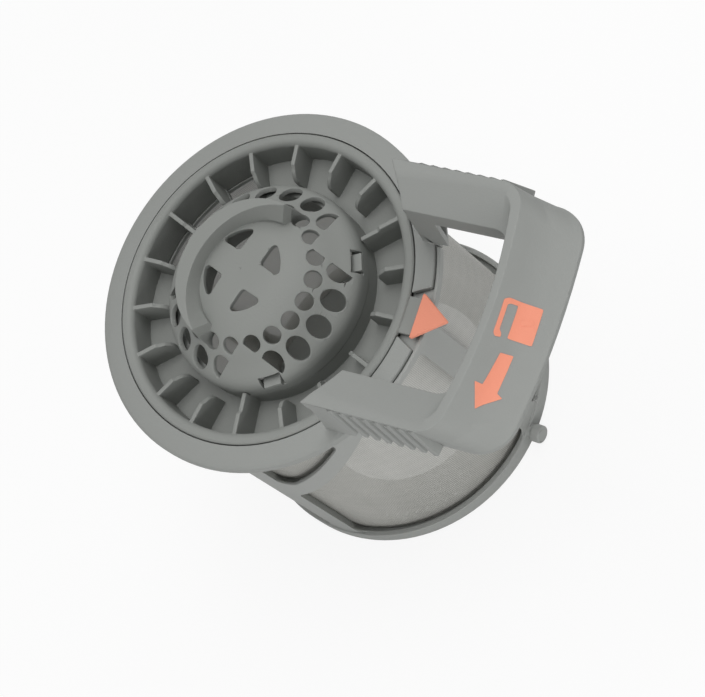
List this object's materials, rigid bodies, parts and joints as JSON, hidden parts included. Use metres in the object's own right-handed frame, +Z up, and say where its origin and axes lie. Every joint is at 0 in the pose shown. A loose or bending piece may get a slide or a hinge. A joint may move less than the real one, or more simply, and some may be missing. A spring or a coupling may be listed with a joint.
{
  "type": "drain filter",
  "caption": "Dishwasher drain filter: ringed mesh drum with a U-shaped handle, a finned strainer insert and a perforated dome with a finger lip.",
  "frame": {"origin": "drum axis at the bottom face of the base ring", "axes": "+Z up along the drum's axis, towards the flange and dome; +X towards the handle's grip; +Y to the handle's left leg seen from the grip's outside looking at the drum"},
  "size_m": [0.161, 0.11, 0.1237],
  "materials": {
    "grey_plastic": "matte moulded polypropylene, slightly green mid-grey",
    "insert_plastic": "matte moulded polypropylene, slightly green mid-grey",
    "micro_mesh": "very fine woven mesh",
    "pointer_orange": "matte salmon orange"
  },
  "bodies": {
    "root": {"handle_ring": "grey_plastic", "drum_cage": "grey_plastic", "mesh_sleeve": "micro_mesh", "strainer_insert": "insert_plastic", "pointer_tab": "pointer_orange", "strainer_dome": "insert_plastic"}
  },
  "joints": []
}
